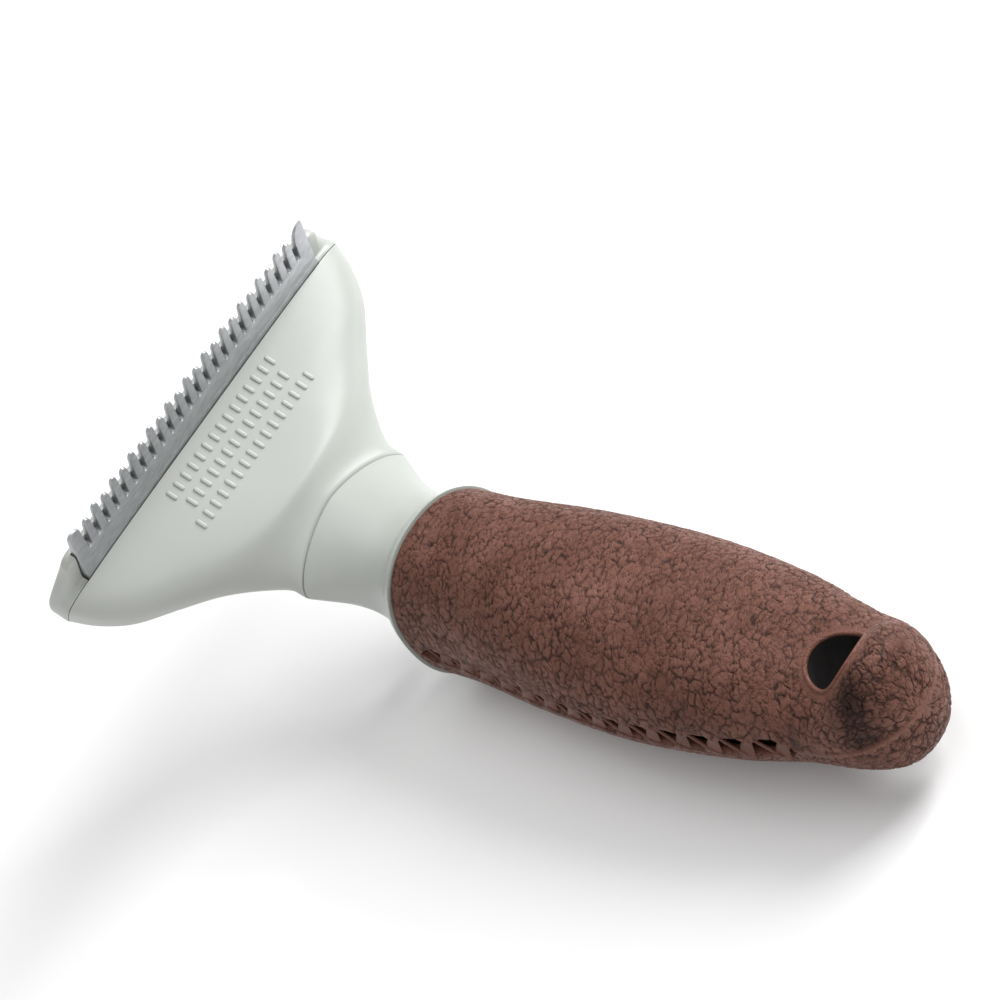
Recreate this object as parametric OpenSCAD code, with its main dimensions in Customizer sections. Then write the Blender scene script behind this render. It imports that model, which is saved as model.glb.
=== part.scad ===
// Deshedding tool for pets: a wide toothed blade in a two-part head, on a neck that plugs
// into a leather-look grip. All lengths are millimetres. The origin is the middle of the
// hanging hole, +X runs from the head to the end of the grip, and +Z is the face side.

/* [Grip] */
// Length of the grip, from its rim to the end of its knob
grip_len = 112; // [110:1:116]
// Widest half-width of the grip
grip_half_w = 18.4; // [17.5:0.1:19.5]
// Thickness of the leather-look covers
cover_t = 2.2; // [2:0.1:2.4]
// Wall of the two core halves
core_t = 2.4; // [2.2:0.1:2.8]
// Thickness of the glue between covers and core
glue_t = 0.35; // [0.3:0.05:0.4]
// Width of the groove that holds the lacing
groove_w = 4.8; // [4:0.2:5]
// Radius of the lacing cord
cord_r = 0.5; // [0.4:0.05:0.6]
// Number of lacing stitches along each side
stitches = 14; // [12:1:16]
// Number of core screws
core_screw_count = 3; // [2:1:3]

/* [Hanging hole] */
// Radius of the hanging hole
hole_r = 5.4; // [4.8:0.1:5.6]
// Wall of the eyelet that lines the hole
eyelet_wall = 1.4; // [1.2:0.1:1.5]
// Length of the eyelet
eyelet_len = 13; // [12:0.2:13.2]

/* [Neck] */
// Length of the neck collar, from the head joint to the grip rim
neck_len = 20.5; // [20:0.5:21]
// Half-width of the neck at the head joint
neck_half_w = 15.4; // [15.2:0.1:15.8]
// Height of the head's middle line at the neck joint
neck_rise = 8; // [7.8:0.1:8.2]
// Gap between the head and the collar
joint_gap = 0.3; // [0.2:0.05:0.4]
// Length of the tongue that slides into the collar
tongue_len = 15; // [14:0.5:15]
// Width of the tongue
tongue_w = 10; // [9:0.2:10]
// Thickness of the tongue
tongue_t = 5.5; // [5:0.1:5.5]
// Clearance round the tongue in its pocket
slide_gap = 0.05; // [0.03:0.01:0.08]

/* [Release button] */
// Travel of the release button
button_travel = 1.2; // [1:0.1:1.2]
// Length of the button pad along the tool
pad_len = 5.6; // [5:0.1:5.8]
// Width of the button pad
pad_w = 13; // [12:0.2:13]

/* [Head] */
// Length of the head, from the neck joint to the blade
head_len = 32.7; // [32:0.1:34]
// Tilt of the head above the grip, in degrees
head_tilt = 45; // [44:1:46]
// Widest half-width of the head
head_half_w = 41.3; // [40:0.1:43]
// Wall of the head shells
shell_t = 2.2; // [2:0.1:2.6]
// Height of the lip that backs the blade, above the middle of the head
lip_h = 14; // [12:0.5:15]
// Thickness of the lip
lip_t = 2; // [1.8:0.1:2.4]

/* [Blade] */
// Width of the blade
blade_w = 70; // [70:0.5:72]
// Thickness of the blade at its base
blade_t = 2.7; // [2.4:0.1:2.8]
// Thickness of the blade at its tips
tip_t = 0.5; // [0.4:0.1:0.8]
// Height of the blade above the face of the head
blade_h = 13.5; // [13:0.5:15]
// Depth of the blade's root inside the head
root_h = 11; // [10:0.5:11.5]
// Number of slots between the teeth
slot_count = 24; // [20:2:24]
// Distance from slot to slot
slot_pitch = 2.74; // [2.6:0.02:2.76]
// Width of a slot
slot_w = 1.3; // [1.1:0.1:1.5]
// Depth of a slot below the long teeth
slot_depth = 8; // [6:0.5:8]
// How much shorter every second tooth is
short_by = 1.2; // [0.8:0.1:1.6]

/* [Hidden] */

white = "whitesmoke";
steel = "slategray";
brown = "saddlebrown";
black = "dimgray";
eps = 0.01;
arc_n = 10;                       // Points along each half of a section

// Grip stations: distance from the rim, half-width, height above and depth below the middle
grip_end_r = 14;                  // Plan radius of the knob
knob_r = 6.5;                     // Side radius of the knob
rim_h = 15.9;
GRIP = [[0, 15.4, rim_h, rim_h], [12, 15.6, 16.4, 15.6], [32, 17.5, 15.9, 14.6],
        [55, grip_half_w, 13.1, 13.2], [78, 16.4, 11.2, 11.6], [92, 13.6, 9.2, 10.2],
        [99, 12.8, 8.2, 9.6], [grip_len - knob_r, 12.6, 12, 11.4], [grip_len, 12.6, 12, 11.4]];
grip_n = 2.2;                     // Exponent of the grip's rounded section
hole_x = 98.6;                    // Hanging hole, from the rim
groove_x = [2, 94];               // Reach of the lacing grooves
groove_ramp = 3;                  // Length over which a groove opens and closes
stitch_even = 0.87;               // Share of even spacing in the places of the stitches
cord_lift = 0.2;                  // Clearance between the lacing and the core
lace_x = [7, 89];                 // Reach of the lacing in them
hollow_x = [5, 88];               // Reach of the hollow in the core
least_room = 2;                   // A wall's inset closes where less than this is left in it
flat_share = 0.8;                 // Share of the width that a closed inset keeps
solid_share = 0.6;                // Share of the core's width that its solid ends turn in at

// Collar stations: distance from the joint, middle height, half-width, height, depth, exponent
// of the rounded section, which is nearly pointed at the sides of the joint
joint_lift = 1.8;                 // Rise of the joint's widest line above the head's middle line
neck_top = 8;
neck_bot = 10.4;
neck_n = 1.6;
COLLAR = [[0, neck_rise + joint_lift, neck_half_w, neck_top, neck_bot, neck_n],
          [6, 7, 12.5, 8.5, 10, 1.9], [12, 4, 11.8, 9.8, 9.6, 2.1], [16.5, 1.5, 13.2, 12.4, 12, grip_n],
          [neck_len - 1.4, 0.3, 15.1, 15.2, 15, grip_n], [neck_len, 0, 15.7, 16, 16, grip_n]];

// Head stations: distance from the joint, half-width, height, depth, section exponent, rise of
// the widest line above the middle line
HEAD = [[0, neck_half_w + 0.2, neck_top + 0.1, neck_bot, neck_n, joint_lift],
        [4, 15.9, 8.5, 9.6, 1.7, 1.2], [8, 18.1, 8.8, 8.8, 1.9, 0.5], [13, 22.6, 8.5, 8.2, 2.3, 0.1],
        [18, 28.9, 7.9, 8, 2.7, 0], [23, 35.4, 7.5, 8, 3.1, 0], [28, 39.2, 7.2, 7.8, 3.5, 0],
        [head_len, head_half_w, 7, 7.4, 4, 0]];
face_h = 7;                       // Height of the head's face at the blade
turn_len = 16;                    // Stretch over which the sections turn to the head's tilt
joint_x = -neck_len - joint_gap;  // Head's joint face, from the grip rim
lip_proud = 0.1;                  // Step from the back shell out to the lip
lip_top_w = 37.5;                 // Half-width of the lip's shoulders
lip_shoulder = [[head_half_w - 1.5, 5.5], [lip_top_w, lip_h - 3], [lip_top_w - 1, lip_h - 0.8],
                [lip_top_w - 3, lip_h]];
blade_lean = 4.6;                 // How far the blade's tips stand forward of its base
face_top = face_h + blade_h;      // Height of the long teeth
bend_z = face_h + 0.5;            // Height at which the blade starts to lean
root_z = face_h - root_h;         // Height of the root's lower edge
pocket_back = 1;                  // Room behind the blade's root
over = 8;                         // How far a cutter passes through the blade

// Tongue, pocket and latch, in the grip's frame
tongue_z = 3.5;                   // Underside of the tongue
tongue_top = tongue_z + tongue_t;
tongue_end = joint_x + tongue_len;
leaf_t = 0.4;
leaf_z = tongue_top + 0.5;
leaf_w = 6;
leaf_x = [-17.4, -6.2];
nose_w = 0.6;
notch_d = 0.9;
notch_gap = 0.2;                  // Clearance at the sides of the spring's nose
notch_back = 0.1;                 // Clearance behind the spring's nose
shoulder = [2, tongue_w - 1, 6.5]; // Shoulder on the tongue's root: length, width, height
shoulder_z = 6.5;                 // Underside of the shoulder
wing_x = [-14.5, -11.5];
wing_w = 13.6;
cavity_x = [-18.6, -9.8];
cavity_w = 14.2;
cavity_top = 11.4;
pad_x = -13;                      // Middle of the button pad
pad_z = -5.8;                     // Outer face of the button pad
plate_z = 0.9;                    // Underside of the button's plate
plate_t = 1;
plate_lip = 0.7;                  // How far the plate reaches past the pad
leg_w = 1.3;
leg_y = tongue_w / 2 + 0.45;
fit_gap = 0.15;                   // Clearance round the button
lift_gap = 0.1;                   // Play between the button's legs and the spring
below_neck = 14;                  // A depth clear of the neck's underside

// Screws
screw_r = 1.3;
screw_head_r = 2.5;
screw_head_t = 1.6;
boss_r = 3.2;
boss_h = 3.4;                     // Height of a head boss above the lug
pilot_h = 2.4;                    // Depth of the pilot hole in it
boss_low = -6.4;                  // Foot of the bosses in the back shell
boss_cover = 1;                   // What is left between a core boss and the cover
cross_cut = [4, 0.6, 0.7];            // Cross in a screw's head: length, width, depth
clear_z = 12;                     // A height clear of the head's back
bite = 2;                         // How far a shell screw goes into the face shell's boss
shell_screws_at = [[9, 0], [24, -18], [24, 18]];
blade_screw_y = [-22, 0, 22];
clamp_t = 3;
clamp_w = 60;
clamp_h = 6.6;
clamp_rise = 0.6;                 // Gap under the clamp
lug_x = [1.2, 13.6];              // Reach of the tongue's lug along the head
lug_w = 10;
lug_top = 2.8;                    // Face side of the tongue's lug
lug_bottom = -2.4;                // Back side of the tongue's lug
screw_seat = -4;                  // Seat of a shell screw's head
tenon = [14, 11, 11];             // Collar's block inside the grip: length, width, height
core_screw_x = [9, 42, 74];
core_head_z = 7;                  // Depth of the seat of a core screw's head
screw_reach = 7;                  // Height that a core screw reaches

// ---- Curves ----

function station(t, x, i = 0) =
    i >= len(t) - 2 || x <= t[i + 1][0] ? i : station(t, x, i + 1);
function slope(t, c, i) =
    let (a = max(i - 1, 0), b = min(i + 1, len(t) - 1)) (t[b][c] - t[a][c]) / (t[b][0] - t[a][0]);

// Value of column c of a station table at x, on a smooth curve through the stations
function along(t, x, c) =
    let (i = station(t, x), h = t[i + 1][0] - t[i][0],
         u = min(max((x - t[i][0]) / h, 0), 1), v = 1 - u)
    t[i][c] * (1 + 2 * u) * v * v + slope(t, c, i) * h * u * v * v
    + t[i + 1][c] * u * u * (3 - 2 * u) - slope(t, c, i + 1) * h * u * u * v;

function power(v, n) = sign(v) * pow(abs(v), 2 / n);
function cap_at(x, r) = let (u = max(x - (grip_len - r), 0) / r) sqrt(max(1 - u * u, 0));
function smooth(u) = let (v = min(max(u, 0), 1)) v * v * (3 - 2 * v);

// One point of a section whose plane leans by tilt: cx, cz is the middle
function section_point(cx, cz, tilt, w, h, n, a) =
    let (y = w * power(cos(a), n), z = h * power(sin(a), n))
    [cx + z * sin(tilt), y, cz + z * cos(tilt)];

// A half section as a closed ring: the outer arc out, the inner arc back. side is 1 or -1
function half_ring(cx, cz, tilt, outer, inner, n, edge, side) = concat(
    [for (i = [0 : arc_n]) section_point(cx, cz, tilt, outer[0], outer[1] * side, n,
                                          edge + (180 - 2 * edge) * i / arc_n)],
    [for (i = [arc_n : -1 : 0]) section_point(cx, cz, tilt, inner[0], inner[1] * side, n,
                                              edge + (180 - 2 * edge) * i / arc_n)]);

// A strip between point j of a ring that starts at i and its opposite one, as two triangles
// that turn one way or the other; the diagonal changes half way, so that none is flat
function strip(i, j, m) = j < m / 4 - 1
    ? [[i + j, i + j + 1, i + m - 1 - j], [i + j + 1, i + m - 2 - j, i + m - 1 - j]]
    : [[i + j, i + j + 1, i + m - 2 - j], [i + j, i + m - 2 - j, i + m - 1 - j]];

// A solid through rings of the same number of points, listed towards +X
module loft(rings) {
    m = len(rings[0]);
    last = (len(rings) - 1) * m;
    polyhedron(points = [for (r = rings) each r], convexity = 8, faces = concat(
        [for (j = [0 : m / 2 - 2]) each strip(0, j, m)],
        [for (i = [0 : m : last - m], j = [0 : m - 1]) let (k = (j + 1) % m)
            each [[i + j, i + m + j, i + m + k], [i + j, i + m + k, i + k]]],
        [for (j = [0 : m / 2 - 2], t = strip(last, j, m)) [t[2], t[1], t[0]]]));
}

function reversed(list) = [for (i = [len(list) - 1 : -1 : 0]) list[i]];

// ---- Grip ----

grip_steps = concat([0, 5], [for (i = [1 : 9]) i * (grip_len - grip_end_r) / 9],
                    [for (i = [1 : 5]) grip_len - grip_end_r + grip_end_r * sin(i * 17)]);

function grip_w(x) = along(GRIP, x, 1) * cap_at(x, grip_end_r);
function grip_h(x, side) = along(GRIP, x, side > 0 ? 2 : 3) * cap_at(x, knob_r);

// Angle at which a cover stops, so that the two covers leave the lacing groove
function groove_edge(x, h) =
    let (gap = groove_w / 2 * smooth((x - groove_x[0]) / groove_ramp)
               * smooth((groove_x[1] - x) / groove_ramp))
    asin(pow(gap / h, grip_n / 2));

// Half-width and height of the grip's section, inset by t; flat where the inset closes
function grip_inset(x, side, t) =
    let (w = grip_w(x), h = grip_h(x, side))
    w > t + least_room && h > t + least_room ? [w - t, h - t] : [w * flat_share, 0];

module grip_cover(side) {
    rings = [for (x = grip_steps) half_ring(x, 0, 0, [grip_w(x), grip_h(x, side)],
        grip_inset(x, side, cover_t), grip_n, groove_edge(x, grip_h(x, side)), side)];
    loft(side > 0 ? rings : reversed(rings));
}

module core_half(side) {
    t = cover_t + glue_t;
    steps = [for (x = grip_steps) if (grip_inset(x, side, t)[1] > 0) x];
    rings = [for (x = steps) let (outer = grip_inset(x, side, t)) half_ring(x, 0, 0, outer,
        x > hollow_x[0] && x < hollow_x[1] ? grip_inset(x, side, t + core_t)
                                          : [outer[0] * solid_share, 0],
        grip_n, 0, side)];
    loft(side > 0 ? rings : reversed(rings));
}

module hang_bore(r) { translate([hole_x, 0, -grip_len / 2]) cylinder(h = grip_len, r = r, $fn = 64); }
module tenon_block(gap = 0) {
    translate([-eps, -tenon[1] / 2 - gap, -tenon[2] / 2 - gap])
        cube([tenon[0] + gap + eps, tenon[1] + 2 * gap, tenon[2] + 2 * gap]);
}
function core_screw_list() = [for (i = [0 : core_screw_count - 1]) core_screw_x[i]];

// ---- Head ----

// Places children in the head's frame: X along the head, Y across it, Z out of its face
module head_frame() {
    translate([joint_x, 0, neck_rise]) rotate([0, head_tilt, 0]) mirror([1, 0, 0]) children();
}

head_steps = concat([0, 2, 4.5], [for (i = [0 : 6]) 7.5 + i * (head_len - 7.5) / 7]);
function head_turn(u) = head_tilt * smooth(u / turn_len);

function head_ring(u, side) =
    let (turn = head_turn(u), lift = along(HEAD, u, 5),
         cx = joint_x - u * cos(head_tilt) + lift * sin(turn),
         cz = neck_rise + u * sin(head_tilt) + lift * cos(turn),
         w = along(HEAD, u, 1), h = along(HEAD, u, side > 0 ? 2 : 3))
    half_ring(cx, cz, turn, [w, h], [w - shell_t, h - shell_t], along(HEAD, u, 4), 0, side);

// The face shell ends at the blade, and the back shell runs on into its lip
module head_shell(side) {
    rings = [for (u = concat(head_steps, side > 0 ? head_len : head_len + 1)) head_ring(u, side)];
    loft(side > 0 ? reversed(rings) : rings);
}

module shell_screw_places() {
    for (p = shell_screws_at) translate([p[0], p[1], 0]) children();
}

// ---- Sub-parts ----

module head_face_shell() color(white) difference() {
    union() {
        head_shell(1);
        head_frame() shell_screw_places() translate([0, 0, lug_top])
            cylinder(h = boss_h, r = boss_r, $fn = 32);
    }
    head_frame() shell_screw_places() translate([0, 0, lug_top - 1])
        cylinder(h = pilot_h + 1, r = screw_r, $fn = 32);
}

// Outline of the lip that backs the blade, as seen from the front: the shell's section below,
// a little proud of it, and two raised shoulders above
module lip_outline() {
    end = HEAD[len(HEAD) - 1] + lip_proud * [0, 1, 0, 1, 0, 0];
    polygon(concat(
        [for (i = [0 : arc_n]) let (a = 180 + 180 * i / arc_n)
            [end[1] * power(cos(a), end[4]), end[3] * power(sin(a), end[4])]],
        lip_shoulder, [for (p = reversed(lip_shoulder)) [-p[0], p[1]]]));
}

// Side profile of the blade, and of the pocket for it, which is open upwards
module blade_profile() {
    polygon([[head_len, root_z], [head_len, bend_z], [head_len + blade_lean - tip_t, face_top],
             [head_len + blade_lean, face_top], [head_len + blade_t, bend_z],
             [head_len + blade_t, root_z]]);
}
module pocket_profile() {
    polygon([[head_len - pocket_back, root_z], [head_len - pocket_back, face_top],
             [head_len + blade_lean, face_top], [head_len + blade_t, bend_z],
             [head_len + blade_t, root_z]]);
}
module across_blade() {
    translate([0, blade_w / 2, 0]) rotate([90, 0, 0]) linear_extrude(height = blade_w) children();
}

module head_back_shell() color(white) difference() {
    union() {
        head_shell(-1);
        head_frame() {
            translate([head_len, 0, 0]) rotate([90, 0, 90])
                linear_extrude(height = blade_t + lip_t) lip_outline();
            shell_screw_places() translate([0, 0, boss_low])
                cylinder(h = lug_bottom - boss_low, r = boss_r, $fn = 32);
        }
    }
    head_frame() {
        // Pocket for the blade and the way to its screws
        across_blade() pocket_profile();
        for (y = blade_screw_y) translate([head_len, y, 0]) rotate([0, 90, 0]) {
            cylinder(h = blade_t + lip_t + 1, r = screw_r, $fn = 32);
            translate([0, 0, blade_t + lip_t - 1]) cylinder(h = 2, r = screw_head_r, $fn = 32);
        }
        shell_screw_places() {
            translate([0, 0, -clear_z]) cylinder(h = clear_z + bite, r = screw_r, $fn = 32);
            translate([0, 0, -clear_z]) cylinder(h = clear_z + screw_seat, r = screw_head_r, $fn = 32);
        }
    }
}

module blade_slot() {
    r = slot_w / 2;
    translate([head_len - 1, 0, 0]) rotate([0, 90, 0]) cylinder(h = blade_t + over, r = r, $fn = 24);
    translate([head_len - 1, -r, 0]) cube([blade_t + over, slot_w, slot_depth + 2]);
}

// Wedge-ground strip: an upright root, then two faces that lean forward and close to the tips
module blade() color(steel) head_frame() difference() {
    across_blade() blade_profile();
    for (i = [0 : slot_count - 1])
        translate([0, (i - (slot_count - 1) / 2) * slot_pitch, face_top - slot_depth + slot_w / 2])
            blade_slot();
    // Every second tooth ends lower
    for (i = [0 : 2 : slot_count - 2])
        translate([head_len - 1, (i + 0.5 - slot_count / 2) * slot_pitch, face_top - short_by])
            cube([blade_t + over, slot_pitch, short_by + 1]);
    for (y = blade_screw_y) translate([head_len - 1, y, 0]) rotate([0, 90, 0])
        cylinder(h = blade_t + 2, r = screw_r, $fn = 32);
}

module blade_clamp() color(steel) head_frame() difference() {
    translate([head_len - clamp_t, -clamp_w / 2, root_z + clamp_rise])
        cube([clamp_t, clamp_w, clamp_h]);
    for (y = blade_screw_y) translate([head_len - clamp_t - 1, y, 0]) rotate([0, 90, 0])
        cylinder(h = clamp_t + 2, r = screw_r, $fn = 32);
}

module screw(length) {
    cylinder(h = length, r = screw_r, $fn = 32);
    difference() {
        cylinder(h = screw_head_t, r = screw_head_r - 0.1, $fn = 32);
        for (turn = [0, 90]) rotate([0, 0, turn]) translate([-cross_cut[0] / 2, -cross_cut[1] / 2, -eps])
            cube(cross_cut);
    }
}

module blade_screws() color(steel) head_frame() for (y = blade_screw_y)
    translate([head_len + blade_t + lip_t - 1 + screw_head_t, y, 0]) rotate([0, -90, 0])
        screw(screw_head_t - 1 + lip_t + blade_t + clamp_t);

module shell_screws() color(steel) head_frame() shell_screw_places()
    translate([0, 0, screw_seat - screw_head_t]) screw(lug_top + bite - screw_seat + screw_head_t);

module head_tongue() color(white) difference() {
    union() {
        // Tongue and its shoulder
        translate([joint_x - 1, -tongue_w / 2, tongue_z]) cube([tongue_len + 1, tongue_w, tongue_t]);
        translate([joint_x - shoulder[0], -shoulder[1] / 2, shoulder_z]) cube(shoulder);
        // Lug that the middle shell screw passes through, cut off at the joint's face
        difference() {
            head_frame() translate([lug_x[0], -lug_w / 2, lug_bottom])
                cube([lug_x[1] - lug_x[0], lug_w, lug_top - lug_bottom]);
            translate([joint_x, -lug_w, 0]) cube([lug_w, 2 * lug_w, 2 * lug_w]);
        }
    }
    // Notch for the latch spring's nose
    translate([leaf_x[0] - notch_back, -leaf_w / 2 - notch_gap, tongue_top - notch_d])
        cube([nose_w + 2 * notch_gap, leaf_w + 2 * notch_gap, notch_d + 1]);
    head_frame() translate([shell_screws_at[0][0], 0, lug_bottom - 1])
        cylinder(h = lug_top - lug_bottom + 2, r = screw_r, $fn = 32);
}

collar_n = 9;
collar_steps = [for (i = [0 : collar_n]) neck_len * sin(i * 90 / collar_n)];

module neck_collar() color(white) difference() {
    union() {
        loft([for (i = [0 : collar_n]) let (x = collar_steps[i])
              [for (j = [0 : 2 * arc_n - 1]) let (a = j * 180 / arc_n)
               section_point(x - neck_len, along(COLLAR, x, 1), 0, along(COLLAR, x, 2),
                             along(COLLAR, x, sin(a) >= 0 ? 3 : 4), along(COLLAR, x, 5), a)]]);
        tenon_block();
    }
    // Pocket for the tongue, cavity for the latch spring and its slot
    translate([-neck_len - 1, -tongue_w / 2 - slide_gap, tongue_z - slide_gap])
        cube([tongue_end + neck_len + 1 + joint_gap, tongue_w + 2 * slide_gap, tongue_t + 2 * slide_gap]);
    translate([cavity_x[0], -cavity_w / 2, tongue_top - eps])
        cube([cavity_x[1] - cavity_x[0], cavity_w, cavity_top - tongue_top + eps]);
    translate([cavity_x[1] - eps, -leaf_w / 2, leaf_z])
        cube([leaf_x[1] - cavity_x[1] + eps, leaf_w, leaf_t]);
    // Button: hole for the pad, pocket for the plate, channels for the legs
    translate([pad_x - pad_len / 2 - fit_gap, -pad_w / 2 - fit_gap, -below_neck])
        cube([pad_len + 2 * fit_gap, pad_w + 2 * fit_gap, below_neck + tongue_z]);
    translate([pad_x - pad_len / 2 - plate_lip - fit_gap, -pad_w / 2 - plate_lip - fit_gap, plate_z])
        cube([pad_len + 2 * plate_lip + 2 * fit_gap, pad_w + 2 * plate_lip + 2 * fit_gap,
              tongue_z - plate_z]);
    translate([wing_x[0] - fit_gap, -leg_y - leg_w - fit_gap, tongue_z - eps])
        cube([wing_x[1] - wing_x[0] + 2 * fit_gap, 2 * (leg_y + leg_w + fit_gap), tongue_t + 1]);
    // Core screw through the tenon
    translate([core_screw_x[0], 0, -tenon[2]]) cylinder(h = 2 * tenon[2], r = screw_r, $fn = 32);
}

module latch_spring() color(steel) {
    translate([leaf_x[0], -leaf_w / 2, leaf_z]) cube([leaf_x[1] - leaf_x[0], leaf_w, leaf_t]);
    translate([leaf_x[0], -leaf_w / 2, tongue_top - notch_d + 0.1])
        cube([nose_w, leaf_w, leaf_z - tongue_top + notch_d]);
    translate([wing_x[0], -wing_w / 2, leaf_z]) cube([wing_x[1] - wing_x[0], wing_w, leaf_t]);
}

module release_button() color(black) {
    translate([pad_x - pad_len / 2, -pad_w / 2, pad_z]) cube([pad_len, pad_w, plate_z - pad_z]);
    translate([pad_x - pad_len / 2 - plate_lip, -pad_w / 2 - plate_lip, plate_z])
        cube([pad_len + 2 * plate_lip, pad_w + 2 * plate_lip, plate_t]);
    for (s = [-1, 1]) translate([wing_x[0], s > 0 ? leg_y : -leg_y - leg_w, plate_z])
        cube([wing_x[1] - wing_x[0], leg_w, leaf_z - lift_gap - plate_z]);
}

module core_bored(side) difference() {
    union() {
        core_half(side);
        for (x = core_screw_list()) let (h = grip_h(x, side) - cover_t - boss_cover)
            translate([x, 0, side > 0 ? 0 : -h]) cylinder(h = h, r = boss_r, $fn = 32);
    }
    tenon_block();
    hang_bore(hole_r + eyelet_wall);
}

module core_face_half() color(black) difference() {
    core_bored(1);
    for (x = core_screw_list()) translate([x, 0, -1])
        cylinder(h = 1 + screw_reach, r = screw_r, $fn = 32);
}

module core_back_half() color(black) difference() {
    core_bored(-1);
    for (x = core_screw_list()) translate([x, 0, -grip_len / 2]) {
        cylinder(h = grip_len, r = screw_r, $fn = 32);
        cylinder(h = grip_len / 2 - core_head_z, r = screw_head_r, $fn = 32);
    }
}

module core_screws() color(steel) for (x = core_screw_list())
    translate([x, 0, -core_head_z - screw_head_t]) screw(screw_head_t + core_head_z + screw_reach);

module grip_face_cover() color(brown) difference() {
    grip_cover(1);
    hang_bore(hole_r + eyelet_wall);
}

module grip_back_cover() color(brown) difference() {
    grip_cover(-1);
    hang_bore(hole_r + eyelet_wall);
}

// Place along the groove of a share t of the stitches, which grow longer towards the knob
function stitch_x(t) = lace_x[0] + (lace_x[1] - lace_x[0]) * t * (stitch_even + (1 - stitch_even) * t);

// One side's lacing: cords that zigzag across the groove, just clear of the core
module lacing(side) {
    for (i = [0 : stitches - 1], k = [0, 1]) {
        x0 = stitch_x((i + k / 2) / stitches);
        x1 = stitch_x((i + (k + 1) / 2) / stitches);
        x = (x0 + x1) / 2;
        trim = 3 * cord_r;
        lean = (k == 0 ? 1 : -1) * atan((x1 - x0 - trim) / groove_w);
        translate([x, side * (grip_w(x) - cover_t + cord_r + cord_lift), 0]) rotate([0, lean, 0])
            cylinder(h = groove_w - trim, r = cord_r, center = true, $fn = 16);
    }
}

module lace_left() color(brown) lacing(1);
module lace_right() color(brown) lacing(-1);

module hang_eyelet() color(black) translate([hole_x, 0, -eyelet_len / 2]) difference() {
    cylinder(h = eyelet_len, r = hole_r + eyelet_wall, $fn = 64);
    translate([0, 0, -1]) cylinder(h = eyelet_len + 2, r = hole_r, $fn = 64);
}

// The parts are drawn from the grip's rim; the origin is the middle of the hanging hole
module from_hole() { translate([-hole_x, 0, 0]) children(); }

from_hole() head_face_shell();
from_hole() head_back_shell();
from_hole() blade();
from_hole() blade_clamp();
from_hole() blade_screws();
from_hole() shell_screws();
from_hole() head_tongue();
from_hole() neck_collar();
from_hole() latch_spring();
from_hole() release_button();
from_hole() core_face_half();
from_hole() core_back_half();
from_hole() core_screws();
from_hole() grip_face_cover();
from_hole() grip_back_cover();
from_hole() lace_left();
from_hole() lace_right();
from_hole() hang_eyelet();
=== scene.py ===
import math

import bmesh
import bpy
import numpy as np
from mathutils import Matrix, Vector, kdtree, noise


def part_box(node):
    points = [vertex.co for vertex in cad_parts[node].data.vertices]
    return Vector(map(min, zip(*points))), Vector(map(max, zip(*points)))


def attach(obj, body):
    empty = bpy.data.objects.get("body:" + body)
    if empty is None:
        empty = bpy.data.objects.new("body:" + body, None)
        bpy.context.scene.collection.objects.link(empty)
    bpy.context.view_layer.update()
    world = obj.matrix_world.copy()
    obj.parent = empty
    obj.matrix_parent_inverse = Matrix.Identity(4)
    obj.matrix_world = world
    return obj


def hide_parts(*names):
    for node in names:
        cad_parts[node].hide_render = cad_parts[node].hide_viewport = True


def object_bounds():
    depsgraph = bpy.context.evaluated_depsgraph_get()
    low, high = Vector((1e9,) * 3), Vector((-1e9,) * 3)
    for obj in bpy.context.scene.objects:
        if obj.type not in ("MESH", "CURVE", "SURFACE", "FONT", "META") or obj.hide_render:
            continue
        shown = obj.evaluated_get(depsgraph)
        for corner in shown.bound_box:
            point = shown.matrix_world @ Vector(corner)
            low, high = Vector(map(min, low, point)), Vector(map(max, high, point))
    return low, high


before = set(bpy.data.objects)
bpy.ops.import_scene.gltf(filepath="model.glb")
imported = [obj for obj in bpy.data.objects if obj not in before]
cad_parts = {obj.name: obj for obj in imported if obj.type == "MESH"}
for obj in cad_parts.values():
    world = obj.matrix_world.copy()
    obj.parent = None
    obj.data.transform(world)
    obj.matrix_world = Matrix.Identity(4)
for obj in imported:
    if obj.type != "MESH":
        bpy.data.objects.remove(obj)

cad_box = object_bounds()

# A deshedding tool. Shapes are in millimetres in the grip's own frame: the origin is the middle
# of the grip's rim, +X runs to the knob and +Z is the face side. to_world turns them into metres.
MM = 0.001
RIM_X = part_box("grip_face_cover")[0][0] / MM
GRIP_LEN = (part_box("grip_face_cover")[1][0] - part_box("grip_face_cover")[0][0]) / MM
HOLE_X = -RIM_X

# Grip stations: distance from the rim, half-width, height above and depth below the middle
KNOB_PLAN_R, KNOB_SIDE_R = 14.0, 6.5
GRIP = np.array([
    [0, 15.4, 15.9, 15.9], [12, 15.6, 16.4, 15.6], [32, 17.5, 15.9, 14.6], [55, 18.4, 13.1, 13.2],
    [78, 16.4, 11.2, 11.6], [92, 13.6, 9.2, 10.2], [99, 12.8, 8.2, 9.6],
    [GRIP_LEN - KNOB_SIDE_R, 12.6, 12, 11.4], [GRIP_LEN, 12.6, 12, 11.4]])
GRIP_N = 2.2
COVER_T = 2.2
GROOVE_HALF = 2.4
GROOVE_X = (2.0, 94.0)
LACE_X = (4.0, 92.0)
STITCHES = 14

# Collar stations: distance from the joint, middle height, half-width, height, depth, exponent
NECK_LEN, NECK_RISE, JOINT_GAP = 20.5, 8.0, 0.3
JOINT_X = -NECK_LEN - JOINT_GAP
COLLAR = np.array([
    [0, 9.8, 15.4, 8, 10.4, 1.6], [6, 7, 12.5, 8.5, 10, 1.9], [12, 4, 11.8, 9.8, 9.6, 2.1],
    [16.5, 1.5, 13.2, 12.4, 12, 2.2], [19.1, 0.3, 15.1, 15.2, 15, 2.2], [NECK_LEN, 0, 15.7, 16, 16, 2.2]])

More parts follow.
